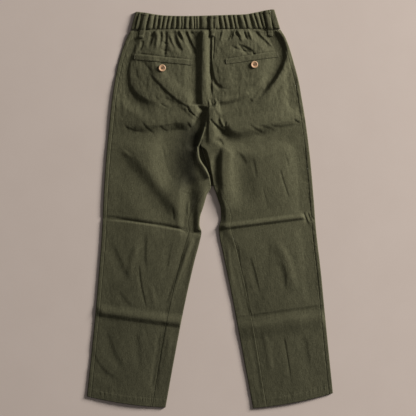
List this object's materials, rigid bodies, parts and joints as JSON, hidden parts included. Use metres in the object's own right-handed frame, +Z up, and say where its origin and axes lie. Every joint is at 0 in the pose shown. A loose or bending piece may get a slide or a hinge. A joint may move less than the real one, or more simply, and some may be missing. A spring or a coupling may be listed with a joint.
{
  "type": "linen trousers laid flat",
  "caption": "Straight-leg linen trousers with an elastic gathered waist, laid face down, with belt loops and buttoned back welt pockets.",
  "frame": {"origin": "on the surface that the trousers lie on, under the middle of their box", "axes": "+X to the right of the back view, +Y towards the waist, +Z up from the surface, out of the back of the garment"},
  "size_m": [0.6152, 0.998, 0.0181],
  "materials": {
    "linen": "matt woven",
    "horn": "satin"
  },
  "bodies": {
    "root": {"back_left": "linen", "back_right": "linen", "front_left": "linen", "front_right": "linen", "waistband_back": "linen", "waistband_front": "linen", "belt_loop_left": "linen", "belt_loop_centre": "linen", "belt_loop_right": "linen", "pocket_welt_left": "linen", "pocket_welt_right": "linen", "button_left": "horn", "button_right": "horn"}
  },
  "joints": []
}
